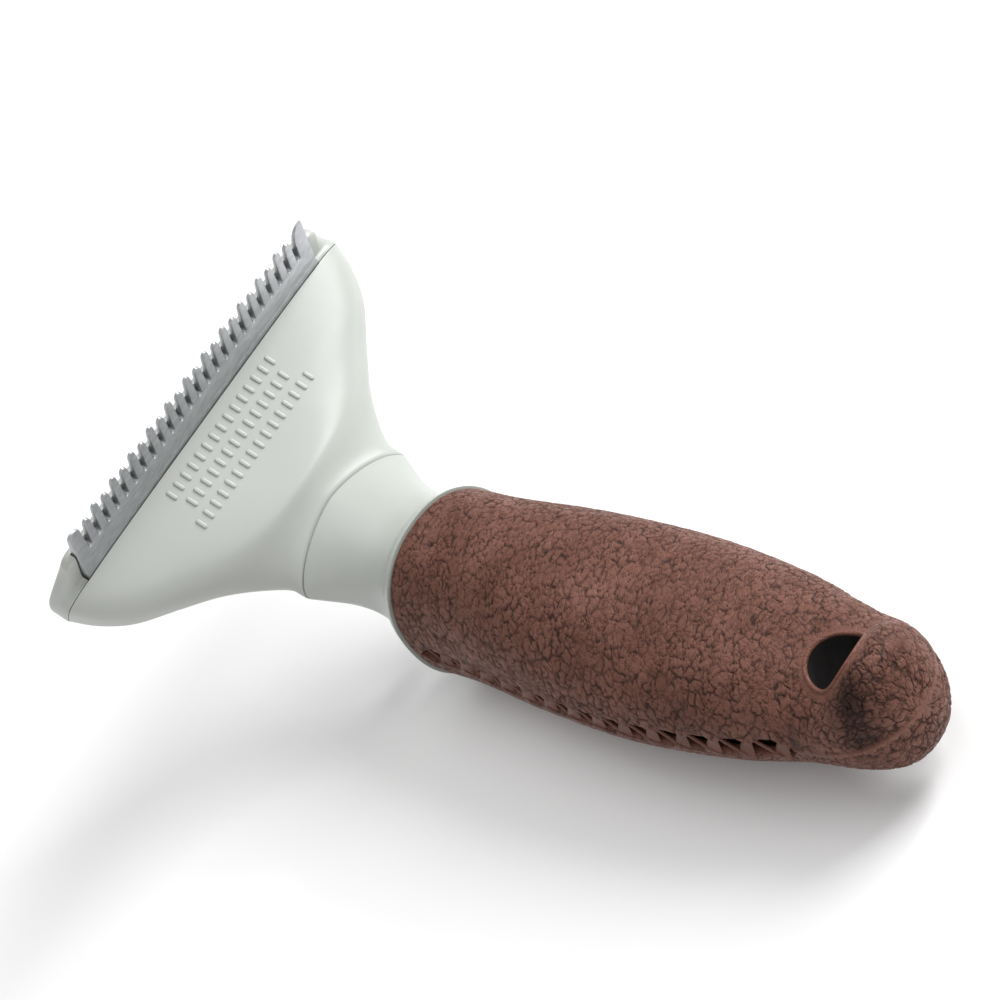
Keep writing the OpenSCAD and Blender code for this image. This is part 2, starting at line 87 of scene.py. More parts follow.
# Head stations: distance from the joint, half-width, height, depth, exponent, rise of the middle
HEAD_LEN, TILT, TURN_LEN = 32.7, math.radians(45), 16.0
HEAD = np.array([
    [0, 15.6, 8.1, 10.4, 1.6, 1.8], [4, 15.9, 8.5, 9.6, 1.7, 1.2], [8, 18.1, 8.8, 8.8, 1.9, 0.5],
    [13, 22.6, 8.5, 8.2, 2.3, 0.1], [18, 28.9, 7.9, 8, 2.7, 0], [23, 35.4, 7.5, 8, 3.1, 0],
    [28, 39.2, 7.2, 7.8, 3.5, 0], [HEAD_LEN, 41.3, 7, 7.4, 4, 0]])
SHELL_T, FACE_H = 2.2, 7.0
PARTING = math.radians(20)          # Parting line of the head's shells, below the widest line
LIP_T, LIP_H = 2.0, 14.0

# Blade, in the head's frame: u along the head, y across it, n out of its face
BLADE_T, BLADE_W, BLADE_TOP, BLADE_ROOT = 2.7, 70.0, 20.5, -4.0
BLADE_LEAN, TIP_T, BEND_N, CHAMFER = 4.6, 0.5, 7.9, 0.5
SLOTS, PITCH, SLOT_R, SLOT_DEPTH, SHORT_BY = 24, 2.74, 0.52, 8.2, 1.2
BLADE_SCREWS_Y = (-22, 0, 22)
SHELL_SCREWS = ((9, 0), (24, -18), (24, 18))
SCREW_HEAD_R, SCREW_SEAT = 2.5, -4.0

HOLE_R, LINER_WALL, RIM_BEAD_R = 5.4, 0.6, 0.42
KNOB_FROM = 100.0                   # Where the knob's coarse folds begin
POCKET = (106.6, -7.2)              # Middle of the hollow between the hole and the knob, darkened with painted shade of the knob's shadow


# ---- Curves ----

def along(table, x, c):
    """Column c of a station table at x, on a smooth curve through the stations."""
    x = np.asarray(x, float)
    s, v = table[:, 0], table[:, c]
    slope = np.empty(len(s))
    slope[1:-1] = (v[2:] - v[:-2]) / (s[2:] - s[:-2])
    slope[0] = (v[1] - v[0]) / (s[1] - s[0])
    slope[-1] = (v[-1] - v[-2]) / (s[-1] - s[-2])
    i = np.clip(np.searchsorted(s, x, side="right") - 1, 0, len(s) - 2)
    h = s[i + 1] - s[i]
    u = np.clip((x - s[i]) / h, 0, 1)
    w = 1 - u
    return (v[i] * (1 + 2 * u) * w * w + slope[i] * h * u * w * w
            + v[i + 1] * u * u * (3 - 2 * u) - slope[i + 1] * h * u * u * w)


def power(v, n):
    return np.sign(v) * np.abs(v) ** (2 / n)


def smooth(u):
    u = np.clip(u, 0, 1)
    return u * u * (3 - 2 * u)


def cap_at(x, r):
    u = np.clip((np.asarray(x, float) - (GRIP_LEN - r)) / r, 0, 1)
    return np.sqrt(np.maximum(1 - u * u, 0))


def grip_w(x):
    return along(GRIP, x, 1) * cap_at(x, KNOB_PLAN_R)


def grip_h(x, side):
    return along(GRIP, x, 2 if side > 0 else 3) * cap_at(x, KNOB_SIDE_R)


def grip_z(x, y, side):
    """Height of the grip's surface over the point x, y."""
    share = np.clip(np.abs(y) / np.maximum(grip_w(x), 1e-6), 0, 1)
    return side * grip_h(x, side) * (1 - share ** GRIP_N) ** (1 / GRIP_N)


def grip_y(x, z):
    """Half-width of the grip at the height z."""
    share = np.clip(np.abs(z) / np.where(z > 0, grip_h(x, 1), grip_h(x, -1)), 0, 1)
    return grip_w(x) * (1 - share ** GRIP_N) ** (1 / GRIP_N)


def stitch_phase(x):
    """Number of stitches before x; they grow longer towards the knob."""
    q = np.clip((x - LACE_X[0]) / (LACE_X[1] - LACE_X[0]), 0, 1)
    return STITCHES * (np.sqrt(0.87 ** 2 + 4 * 0.13 * q) - 0.87) / (2 * 0.13)


def stitch_x(phase):
    t = phase / STITCHES
    return LACE_X[0] + (LACE_X[1] - LACE_X[0]) * t * (0.87 + 0.13 * t)


def pull(x, side):
    """How strongly the lacing pulls on the edge of a cover at x, from 0 to 1."""
    phase = stitch_phase(x) - (0 if side > 0 else LACE_TURN)
    inside = (x > LACE_X[0] - 2) & (x < LACE_X[1] + 2)
    return inside * (0.5 + 0.5 * np.cos(2 * math.pi * phase)) ** 2


LACE_TURN = 0.55                    # Share of a stitch after which the cord turns back up


def to_world(points):
    return (np.asarray(points, float) + np.array([RIM_X, 0, 0])) * MM


def head_point(u, y, n):
    c, s = math.cos(TILT), math.sin(TILT)
    u, y, n = np.broadcast_arrays(np.asarray(u, float), y, n)
    return np.stack([JOINT_X - u * c + n * s, y, NECK_RISE + u * s + n * c], -1)


# ---- Meshes ----

def new_mesh_object(name, verts, faces):
    mesh = bpy.data.meshes.new(name)
    mesh.from_pydata([tuple(v) for v in verts], [], faces)
    obj = bpy.data.objects.new(name, mesh)
    bpy.context.scene.collection.objects.link(obj)
    return obj


def tidy_normals(obj, weld=0.0):
    bm = bmesh.new()
    bm.from_mesh(obj.data)
    if weld:
        bmesh.ops.remove_doubles(bm, verts=bm.verts, dist=weld)
    bmesh.ops.recalc_face_normals(bm, faces=bm.faces)
    if bm.calc_volume(signed=True) < 0:
        bmesh.ops.reverse_faces(bm, faces=bm.faces)
    bm.to_mesh(obj.data)
    bm.free()


def piece(obj, body, mat, smooth_angle=None, nodes=()):
    """Shades a finished mesh, gives it its material, and says what it rides on and replaces."""
    obj.data.materials.clear()
    obj.data.materials.append(mat)
    obj.data.polygons.foreach_set("use_smooth", [True] * len(obj.data.polygons))
    if smooth_angle is not None:
        obj.data.set_sharp_from_angle(angle=math.radians(smooth_angle))
    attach(obj, body)
    if nodes:
        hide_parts(*nodes)
    return obj


def bridge(rows, m, closed=True, first=0):
    """Quads between rows of m points each; closed joins each row's end to its start."""
    faces = []
    for i in range(rows - 1):
        for j in range(m if closed else m - 1):
            k = (j + 1) % m
            a = first + i * m
            faces.append((a + j, a + k, a + m + k, a + m + j))
    return faces


def loft(name, rows, m, ends=True):
    """A closed solid through rows of m points each."""
    verts = np.vstack(rows)
    faces = bridge(len(rows), m)
    if ends:
        last = (len(rows) - 1) * m
        faces += [tuple(range(m)), tuple(range(last + m - 1, last - 1, -1))]
    obj = new_mesh_object(name, to_world(verts), faces)
    tidy_normals(obj)
    return obj


def cut(obj, tools, operation="DIFFERENCE"):
    """Cuts obj with each tool, or joins them, and deletes the tools."""
    for tool in tools:
        mod = obj.modifiers.new("cut", "BOOLEAN")
        mod.operation = operation
        mod.solver = "EXACT"
        mod.object = tool
        graph = bpy.context.evaluated_depsgraph_get()
        mesh = bpy.data.meshes.new_from_object(obj.evaluated_get(graph))
        obj.modifiers.clear()
        old, obj.data = obj.data, mesh
        bpy.data.meshes.remove(old)
        old = tool.data
        bpy.data.objects.remove(tool)
        bpy.data.meshes.remove(old)


def bevel(obj, width, segments=3, angle=35):
    mod = obj.modifiers.new("edges", "BEVEL")
    mod.width = width * MM
    mod.segments = segments
    mod.limit_method = "ANGLE"
    mod.angle_limit = math.radians(angle)
    mod.harden_normals = True


BOX_FACES = [(0, 1, 3, 2), (4, 6, 7, 5), (0, 4, 5, 1), (2, 3, 7, 6), (0, 2, 6, 4), (1, 5, 7, 3)]


def box(lo, hi, in_head=False):
    """A box between two corners, for cutting and joining."""
    pts = np.array([[x, y, z] for x in (lo[0], hi[0]) for y in (lo[1], hi[1]) for z in (lo[2], hi[2])])
    if in_head:
        pts = head_point(pts[:, 0], pts[:, 1], pts[:, 2])
    obj = new_mesh_object("tool", to_world(pts), BOX_FACES)
    tidy_normals(obj)
    return obj


def cylinder(middle, axis, radius, length, sides=64, in_head=False):
    middle, axis = np.array(middle, float), np.array(axis, float)
    side = np.cross(axis, [0.3, 0.5, 0.9])
    side /= np.linalg.norm(side)
    other = np.cross(axis, side)
    a = np.arange(sides) * 2 * math.pi / sides
    ring = radius * (np.cos(a)[:, None] * side + np.sin(a)[:, None] * other)
    pts = np.vstack([middle - axis * length / 2 + ring, middle + axis * length / 2 + ring])
    if in_head:
        pts = head_point(pts[:, 0], pts[:, 1], pts[:, 2])
    ends = [tuple(range(sides)), tuple(range(2 * sides - 1, sides - 1, -1))]
    obj = new_mesh_object("tool", to_world(pts), bridge(2, sides) + ends)
    tidy_normals(obj)
    return obj


def prism_across(profile, half, in_head=True):
    """A solid with a side profile of (u, n) points, from -half to half across the head."""
    m = len(profile)
    pts = np.array([(u, y, n) for y in (-half, half) for u, n in profile])
    ends = [tuple(range(m)), tuple(range(2 * m - 1, m - 1, -1))]
    obj = new_mesh_object("tool", to_world(head_point(pts[:, 0], pts[:, 1], pts[:, 2])), bridge(2, m) + ends)
    tidy_normals(obj)
    return obj


# ---- Materials ----

def material(name, colour, roughness, metallic=0.0):
    mat = bpy.data.materials.new(name)
    mat.use_nodes = True
    shader = mat.node_tree.nodes["Principled BSDF"]
    shader.inputs["Base Color"].default_value = (*colour, 1)
    shader.inputs["Roughness"].default_value = roughness
    shader.inputs["Metallic"].default_value = metallic
    return mat, mat.node_tree, shader


def add(tree, kind, inputs=None, **settings):
    node = tree.nodes.new(kind)
    for key, value in settings.items():
        setattr(node, key, value)
    for key, value in (inputs or {}).items():
        node.inputs[key].default_value = value
    return node


def ramp(tree, source, stops):
    node = tree.nodes.new("ShaderNodeValToRGB")
    band = node.color_ramp
    while len(band.elements) < len(stops):
        band.elements.new(0.5)
    for element, (place, colour) in zip(band.elements, stops):
        element.position = place
        element.color = (*colour, 1)
    tree.links.new(source, node.inputs["Fac"])
    return node.outputs["Color"]


def object_coordinates(tree, scale=(1, 1, 1)):
    place = add(tree, "ShaderNodeTexCoord")
    stretch = add(tree, "ShaderNodeMapping", {"Scale": scale})
    tree.links.new(place.outputs["Object"], stretch.inputs["Vector"])
    return stretch.outputs["Vector"]


def noise_value(tree, vector, scale, detail=4.0, rough=0.5):
    node = add(tree, "ShaderNodeTexNoise", {"Scale": scale, "Detail": detail, "Roughness": rough})
    tree.links.new(vector, node.inputs["Vector"])
    return node.outputs["Fac"]


def roughness_from(tree, shader, value, low, high):
    node = add(tree, "ShaderNodeMapRange", {"To Min": low, "To Max": high})
    tree.links.new(value, node.inputs["Value"])
    tree.links.new(node.outputs["Result"], shader.inputs["Roughness"])


def bump(tree, shader, height, strength, distance):
    node = add(tree, "ShaderNodeBump", {"Strength": strength, "Distance": distance})
    tree.links.new(height, node.inputs["Height"])
    tree.links.new(node.outputs["Normal"], shader.inputs["Normal"])


def white_plastic():
    """Satin moulded plastic, a light grey with a trace of green."""
    mat, tree, shader = material("white_plastic", (0.41, 0.43, 0.4), 0.36)
    where = object_coordinates(tree)
    cool, warm = (0.4, 0.421, 0.392), (0.422, 0.44, 0.412)
    tint = ramp(tree, noise_value(tree, where, 45), [(0.3, cool), (0.7, warm)])
    tree.links.new(tint, shader.inputs["Base Color"])
    roughness_from(tree, shader, noise_value(tree, where, 260, 6), 0.3, 0.42)
    bump(tree, shader, noise_value(tree, where, 2600, 2), 0.06, 0.00005)
    return mat


def black_plastic():
    mat, tree, shader = material("black_plastic", (0.012, 0.011, 0.011), 0.5)
    where = object_coordinates(tree)
    tint = ramp(tree, noise_value(tree, where, 300), [(0.3, (0.006, 0.005, 0.005)), (0.7, (0.016, 0.014, 0.013))])
    tree.links.new(tint, shader.inputs["Base Color"])
    roughness_from(tree, shader, noise_value(tree, where, 500), 0.42, 0.62)
    bump(tree, shader, noise_value(tree, where, 1500, 3), 0.2, 0.0001)
    return mat


def steel(name, colour, rough, grain=(1, 1, 1)):
    """Ground steel: fine grain that the mapping stretches along the grinding direction."""
    mat, tree, shader = material(name, colour, rough, 0.9)
    where = object_coordinates(tree, grain)
    fine = noise_value(tree, where, 1100, 6, 0.65)
    dark = tuple(c * 0.8 for c in colour)
    light = tuple(min(c * 1.15, 1) for c in colour)
    tree.links.new(ramp(tree, fine, [(0.3, dark), (0.7, light)]), shader.inputs["Base Color"])
    roughness_from(tree, shader, fine, rough - 0.08, rough + 0.12)
    bump(tree, shader, fine, 0.18, 0.00006)
    return mat


def leather(name, tone=1.0):
    """Grained brown leather. A value stored on the mesh darkens the bottoms of its creases and folds, partly in the
    leather's own darker colour and partly as painted shade, and paints shade into the lacing's puckers and the hollow
    beside the knob.
    """
    mat, tree, shader = material(name, (0.13, 0.06, 0.047), 0.5)
    shader.inputs["Specular IOR Level"].default_value = 0.22
    where = object_coordinates(tree)
    brown = [tuple(tone * c for c in rgb) for rgb in ((0.11, 0.041, 0.027), (0.145, 0.059, 0.041), (0.185, 0.08, 0.058))]
    blotches = ramp(tree, noise_value(tree, where, 110, 6, 0.6), list(zip((0.3, 0.52, 0.75), brown)))
    crease_and_painted_shade = add(tree, "ShaderNodeAttribute", attribute_name="crease_and_painted_shade", attribute_type="GEOMETRY")
    # Near-black brown mixed in by the stored value: partly the leather's own darker crease colour, and painted shade
    # in the creases, puckers and hollow by the knob
    mix = add(tree, "ShaderNodeMix", data_type="RGBA")
    mix.inputs["B"].default_value = (0.022, 0.007, 0.004, 1)
    tree.links.new(crease_and_painted_shade.outputs["Fac"], mix.inputs["Factor"])
    tree.links.new(blotches, mix.inputs["A"])
    tree.links.new(mix.outputs["Result"], shader.inputs["Base Color"])
    dull = add(tree, "ShaderNodeMath", operation="MULTIPLY_ADD")
    dull.inputs[1].default_value = 1.6
    tree.links.new(crease_and_painted_shade.outputs["Fac"], dull.inputs[0])
    tree.links.new(noise_value(tree, where, 700, 4), dull.inputs[2])
    roughness_from(tree, shader, dull.outputs["Value"], 0.3, 0.55)
    warp = add(tree, "ShaderNodeTexNoise", {"Scale": 900.0, "Detail": 2.0})
    tree.links.new(where, warp.inputs["Vector"])
    shift = add(tree, "ShaderNodeMix", data_type="VECTOR")
    shift.inputs["Factor"].default_value = 0.0007
    tree.links.new(where, shift.inputs["A"])
    tree.links.new(warp.outputs["Color"], shift.inputs["B"])
    pores = add(tree, "ShaderNodeTexVoronoi", {"Scale": 620.0}, feature="DISTANCE_TO_EDGE")
    tree.links.new(shift.outputs["Result"], pores.inputs["Vector"])
    grain = add(tree, "ShaderNodeMapRange", {"From Max": 0.09})
    tree.links.new(pores.outputs["Distance"], grain.inputs["Value"])
    height = add(tree, "ShaderNodeMath", operation="MULTIPLY_ADD")
    height.inputs[1].default_value = 0.5
    tree.links.new(grain.outputs["Result"], height.inputs[0])
    tree.links.new(noise_value(tree, where, 520, 6, 0.7), height.inputs[2])
    bump(tree, shader, height.outputs["Value"], 0.8, 0.0002)
    return mat


WHITE = white_plastic()
BLACK = black_plastic()
BLADE_STEEL = steel("blade_steel", (0.47, 0.48, 0.5), 0.38, (1, 0.4, 1))
ZINC = steel("zinc_steel", (0.55, 0.55, 0.56), 0.3)
LEATHER = leather("grip_leather")
LACE = leather("lace_leather", 0.9)


# ---- Grip ----

def scattered(points, gap, seed):
    """Some of the points, none nearer to another than gap."""
    order = np.random.default_rng(seed).permutation(len(points))
    grid, kept = {}, []
    for i in order[: len(order) // 2]:
        p = points[i]
        key = tuple(int(math.floor(c / gap)) for c in p)
        near = (q for dx in (-1, 0, 1) for dy in (-1, 0, 1) for dz in (-1, 0, 1)
                for q in grid.get((key[0] + dx, key[1] + dy, key[2] + dz), ()))
        if all((p[0] - q[0]) ** 2 + (p[1] - q[1]) ** 2 + (p[2] - q[2]) ** 2 > gap * gap for q in near):
            grid.setdefault(key, []).append(p)
            kept.append(p)
    return kept


def creases(points, gap, width, wobble, keep, seed):
    """Depth, from 0 to 1, of a net of creases between cells about gap apart. keep is the share
    of the net that shows; the rest fades out."""
    stretched = points * [1.25, 1, 1]
    seeds = scattered(stretched, gap * 0.72, seed)
    tree = kdtree.KDTree(len(seeds))
    for i, p in enumerate(seeds):
        tree.insert(p, i)
    tree.balance()
    depth = np.empty(len(points))
    shift = Vector((seed, 2 * seed, 3 * seed))
    for i, p in enumerate(stretched):
        v = Vector(p)
        near = tree.find_n(v + noise.noise_vector(v * (1.3 / gap)) * wobble, 2)
        line = max(0.0, 1 - (near[1][2] - near[0][2]) / width)
        fade = keep + 0.9 * noise.noise(v * (0.8 / gap) + shift)
        depth[i] = line * min(max(fade, 0.0), 1.0)
    return depth


def cover_stations(step):
    body = np.arange(1.2, GRIP_LEN - KNOB_PLAN_R, step)
    turn = np.linspace(0, math.radians(89.6), int(KNOB_PLAN_R * 1.65 / step))
    return np.concatenate([[0, 0.12, 0.35, 0.7], body, GRIP_LEN - KNOB_PLAN_R * (1 - np.sin(turn))])


def cover_rings(side, xs, count, inner_count, edge_count):
    """The outline of a cover's section at each station: outer wall, rolled edge, inner wall,
    rolled edge."""
    rings = []
    rim = 0.9 * (1 - np.sqrt(1 - np.clip(1 - xs / 1.0, 0, 1) ** 2))
    for x, fold in zip(xs, rim):
        w, h = float(grip_w(x)) - fold, float(grip_h(x, side)) - fold
        open_by = float(smooth((x - GROOVE_X[0]) / 3) * smooth((GROOVE_X[1] - x) / 3))
        gap = open_by * (GROOVE_HALF - 0.9 * float(pull(np.array(x), side)))
        edge = math.asin(min(gap / h, 0.9) ** (GRIP_N / 2))
        t = min(COVER_T, 0.8 * w, 0.8 * h)
        a = np.linspace(edge, math.pi - edge, count)
        b = np.linspace(math.pi - edge, edge, inner_count)
        outer = np.stack([w * power(np.cos(a), GRIP_N), side * h * power(np.sin(a), GRIP_N)], -1)
        inner = np.stack([(w - t) * power(np.cos(b), GRIP_N), side * (h - t) * power(np.sin(b), GRIP_N)], -1)
        f = np.linspace(0, math.pi, edge_count + 2)[1:-1]
        bead = 0.35 * open_by

        def rolled(start, end):
            middle = start + (end - start) * ((1 - np.cos(f)) / 2)[:, None]
            middle[:, 1] -= side * bead * np.sin(f)
            return middle
        section = np.vstack([outer, rolled(outer[-1], inner[0]), inner, rolled(inner[-1], outer[0])])
        rings.append(np.column_stack([np.full(len(section), x), section]))
    return rings


def grip_cover(name, side, node):
    """One cover with the hole cut through it, then its creases pressed into the outer wall."""
    xs = cover_stations(0.3)
    rings = cover_rings(side, xs, 170, 40, 4)
    m = len(rings[0])
    last = (len(xs) - 1) * m
    ends = [tuple(range(m)), tuple(range(last + m - 1, last - 1, -1))]
    obj = new_mesh_object(name, to_world(np.vstack(rings)), bridge(len(xs), m) + ends)
    tidy_normals(obj)
    cut(obj, [cylinder((HOLE_X, 0, 0), (0, 0, 1), HOLE_R + 0.3, 60, 96)])

    mesh = obj.data
    verts = np.empty(len(mesh.vertices) * 3)
    mesh.vertices.foreach_get("co", verts)
    normals = np.empty(len(verts))
    mesh.vertex_normals.foreach_get("vector", normals)
    verts = verts.reshape(-1, 3) / MM - [RIM_X, 0, 0]
    w, h = np.maximum(grip_w(verts[:, 0]), 1e-6), np.maximum(grip_h(verts[:, 0], side), 1e-6)
    level = (np.abs(verts[:, 1]) / w) ** GRIP_N + (np.abs(verts[:, 2]) / h) ** GRIP_N
    on_wall = smooth((level - 0.9) / 0.08) * smooth(np.minimum(w, h) / 2)
    index = np.flatnonzero(on_wall > 0.01)
    outer = verts[index]
    shut = 1 - smooth((outer[:, 0] - GROOVE_X[0]) / 3) * smooth((GROOVE_X[1] - outer[:, 0]) / 3)
    on_wall[index] *= 1 - shut * (1 - smooth(np.abs(outer[:, 2]) / 0.8))

    # Creases, coarser folds on the knob, and puckers where the lacing pulls
    fine = np.maximum(creases(outer, 2.5, 0.4, 1.2, 0.85, 3), 0.8 * creases(outer, 1.3, 0.28, 0.6, 0.5, 4))
    folds = creases(outer, 3.4, 0.4, 2.2, 0.8, 5) * smooth((outer[:, 0] - KNOB_FROM) / 5)
    beside = np.clip(np.abs(outer[:, 2]) - GROOVE_HALF, 0, None)
    on_side = np.abs(outer[:, 1]) > 0.5 * grip_w(outer[:, 0])
    pucker = on_side * np.exp(-beside / 2.2) * pull(outer[:, 0] - 1.2, side)
    pucker *= (1 - pull(outer[:, 0] + 0.6, side)) ** 6
    # Hollow between the hole and the knob, on the face cover only: sunk into the surface, and darkened below with
    # painted shadow of the knob
    pocket = np.exp(-((outer[:, 0] - POCKET[0]) / 2.7) ** 2 - ((outer[:, 1] - POCKET[1]) / 4.8) ** 2)
    pocket *= 1.0 if side > 0 else 0.0
    clear = smooth((np.hypot(outer[:, 0] - HOLE_X, outer[:, 1]) - HOLE_R - 0.9) / 1.2)
    depth = clear * np.maximum(np.maximum(fine, 0.9 * pucker), 1.5 * folds)
    swell = np.array([noise.noise(Vector(p) * 0.7) for p in outer])
    sink = 0.26 * depth + 0.5 * clear * pocket + 0.06 - 0.06 * swell
    verts[index] = outer - normals.reshape(-1, 3)[index] * (sink * on_wall[index])[:, None]
    mesh.vertices.foreach_set("co", to_world(verts).ravel())
    # Colour value for the leather: crease and fold bottoms darkened partly in the leather's own colour and partly with
    # painted shade; puckers and the hollow by the knob get painted shade
    shown = np.zeros(len(verts))
    shade = clear * (np.maximum(fine * 1.25, 0.7 * folds) + 0.5 * pucker + 0.95 * pocket)
    shown[index] = np.clip(shade, 0, 1) * on_wall[index]
    value = mesh.attributes.new("crease_and_painted_shade", "FLOAT", "POINT")
    value.data.foreach_set("value", shown)
    return piece(obj, "handle", LEATHER, 50, (node,))


def tube(path, radius, sides, closed=False, up=(0, 0, 1), flatten=1.0):
    """Rows of a tube along a path; flatten under 1 makes a strap that is thin along up."""
    path = np.asarray(path, float)
    radius = np.broadcast_to(radius, len(path))
    step = (np.roll(path, -1, 0) - np.roll(path, 1, 0)) if closed else np.gradient(path, axis=0)
    step /= np.linalg.norm(step, axis=1, keepdims=True)
    up = np.broadcast_to(np.asarray(up, float), path.shape)
    across = np.cross(step, up)
    across /= np.linalg.norm(across, axis=1, keepdims=True)
    above = np.cross(across, step)
    a = np.arange(sides) * 2 * math.pi / sides
    rows = [p + r * (np.cos(a)[:, None] * s + flatten * np.sin(a)[:, None] * t)
            for p, r, s, t in zip(path, radius, across, above)]
    return rows + rows[:1] if closed else rows


def hole_rim(name, side):
    """Smooth moulded bead that edges the hanging hole, over the saddle of the grip."""
    a = np.linspace(0, 2 * math.pi, 120, endpoint=False)
    x = HOLE_X + (HOLE_R + 0.25) * np.cos(a)
    y = (HOLE_R + 0.25) * np.sin(a)
    path = np.stack([x, y, grip_z(x, y, side) - side * 0.12], -1)
    obj = loft(name, tube(path, RIM_BEAD_R, 14, True), 14, False)
    tidy_normals(obj, 1e-7)
    return piece(obj, "handle", LEATHER)


def hole_liner():
    """Black sleeve that lines the hole, up to just under the rims on both faces."""
    a = np.linspace(0, 2 * math.pi, 120, endpoint=False)
    rows = []
    for r, side in ((HOLE_R, 1), (HOLE_R + LINER_WALL, 1), (HOLE_R + LINER_WALL, -1), (HOLE_R, -1), (HOLE_R, 1)):
        x, y = HOLE_X + r * np.cos(a), r * np.sin(a)
        top = grip_z(HOLE_X + HOLE_R * np.cos(a), HOLE_R * np.sin(a), side) - side * 0.3
        rows.append(np.stack([x, y, top], -1))
    obj = loft("hole_liner", rows, len(a), False)
    tidy_normals(obj, 1e-7)
    return piece(obj, "handle", BLACK, 30, ("hang_eyelet",))


def lacing(name, side, node):
    """Each stitch is a thin cord down across the groove, and a wider strap back up."""
    verts, faces = [], []

    def strand(start, end, radius, flatten, sides=10, steps=14):
        t = np.linspace(0, 1, steps)
        x = start[0] + (end[0] - start[0]) * t
        z = start[1] + (end[1] - start[1]) * t
        y = side * (grip_y(x, z) - 0.55 - 0.25 * np.sin(math.pi * t))
        first = len(verts)
        for row in tube(np.stack([x, y, z], -1), radius(t), sides, up=(0, side, 0), flatten=flatten):
            verts.extend(row)
        faces.extend(bridge(steps, sides, first=first))
        faces.append(tuple(range(first, first + sides)))
        faces.append(tuple(range(first + steps * sides - 1, first + (steps - 1) * sides - 1, -1)))

    top, low = GROOVE_HALF + 0.3, -GROOVE_HALF - 0.3
    for i in range(STITCHES):
        turn = stitch_x(i + LACE_TURN)
        strand((stitch_x(i), top), (turn, low), lambda t: 0.34 + 0 * t, 0.9)
        strand((turn, low), (stitch_x(i + 1), top), lambda t: 1.8 - 1.2 * t, 0.24)
    obj = new_mesh_object(name, to_world(np.array(verts)), faces)
    tidy_normals(obj)
    return piece(obj, "handle", LACE, 60, (node,))


# ---- Neck and head ----

def section(cx, cz, tilt, w, up, down, n, a):
    s = np.sin(a)
    z = np.where(s >= 0, up, down) * power(s, n)
    return np.stack([cx + z * math.sin(tilt), w * power(np.cos(a), n), cz + z * math.cos(tilt)], -1)


def neck_collar():
    a = np.linspace(0, 2 * math.pi, 200, endpoint=False)
    xs = np.concatenate([[0.0, 0.05], np.linspace(0.2, NECK_LEN - 0.05, 90), [NECK_LEN]])
    rows = []
    for i, x in enumerate(xs):
        cz, w, up, down, n = (float(along(COLLAR, x, c)) for c in range(1, 6))
        ease = (0.25, 0.08)[i] if i < 2 else 0
        rows.append(section(x - NECK_LEN, cz, 0, w - ease, up - ease, down - ease, n, a))
    obj = loft("neck", rows, len(a))
    pad = [v / MM - RIM_X * (i == 0) for i, v in enumerate(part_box("release_button")[0])]
    tongue_lo, tongue_hi = -NECK_LEN - 1, JOINT_X + 15.4
    cut(obj, [box((tongue_lo, -5.05, 3.45), (tongue_hi, 5.05, 9.05)),
              box((-18.6, -7.1, 9), (-9.8, 7.1, 11.4)),
              box((-15.95, -6.65, -14), (-10.05, 6.65, 3.6)),
              box((-16.65, -7.35, 0.9), (-9.35, 7.35, 3.5)),
              box((-14.65, -6.9, 3.3), (-11.35, 6.9, 9.5))])
    return piece(obj, "handle", WHITE, 40, ("neck_collar",))


def head_section(u, a, inset=0.0):
    tilt = TILT * float(smooth(u / TURN_LEN))
    w, up, down, n, lift = (float(along(HEAD, u, c)) for c in range(1, 6))
    cx = JOINT_X - u * math.cos(TILT) + lift * math.sin(tilt)
    cz = NECK_RISE + u * math.sin(TILT) + lift * math.cos(tilt)
    return section(cx, cz, tilt, w - inset, up - inset, down - inset, n, a)


def shell(name, us, start, end):
    a = np.linspace(start, end, 140)
    rows = []
    for i, u in enumerate(us):
        ease = 0.2 if i == 0 else 0
        rows.append(np.vstack([head_section(u, a, ease), head_section(u, a, SHELL_T)[::-1]]))
    return loft(name, rows, 2 * len(a))


def pocket_profile(gap):
    back = HEAD_LEN - 0.14
    return [(back, BLADE_ROOT - gap), (back, FACE_H + 20), (HEAD_LEN + 9, FACE_H + 20),
            (HEAD_LEN + BLADE_LEAN + gap, BLADE_TOP), (HEAD_LEN + BLADE_T + gap, BEND_N),
            (HEAD_LEN + BLADE_T + gap, BLADE_ROOT - gap)]


def head_face_shell():
    obj = shell("head_face", np.linspace(0, HEAD_LEN - 0.08, 90), -PARTING, math.pi + PARTING)
    cut(obj, [prism_across(pocket_profile(0.08), BLADE_W / 2 + 0.3)])
    bevel(obj, 0.08)
    return piece(obj, "head", WHITE, 40, ("head_face_shell",))


def lip_outline(inset=0.0, rise=1.0):
    """Outline of the lip, anticlockwise from the front: the shell's section below, shoulders
    above that are raised by a share of their height."""
    a = np.linspace(math.pi, 2 * math.pi, 90)
    low = np.stack([(41.4 - inset) * power(np.cos(a), 4), (7.5 - inset) * power(np.sin(a), 4)], -1)
    f = np.linspace(0, math.pi / 2, 10)
    top_r = 3.0
    top_w = 37.7
    side = np.array([[41.0, 1.5], [40.2, 4.0], [39.2, 6.5], [38.3, 9.0]])
    corner = np.stack([top_w - top_r + top_r * np.cos(f), LIP_H - top_r + top_r * np.sin(f)], -1)
    right = np.vstack([side, corner])
    right = right - inset * np.array([1, 0])
    right[-len(f):] -= inset * np.stack([np.cos(f) - 1, np.sin(f)], -1)
    face = np.array([head_surface(HEAD_LEN, y) for y in right[:, 0]])
    right[:, 1] = face + (right[:, 1] - face) * rise
    return np.vstack([low, right, right[::-1] * [-1, 1]])


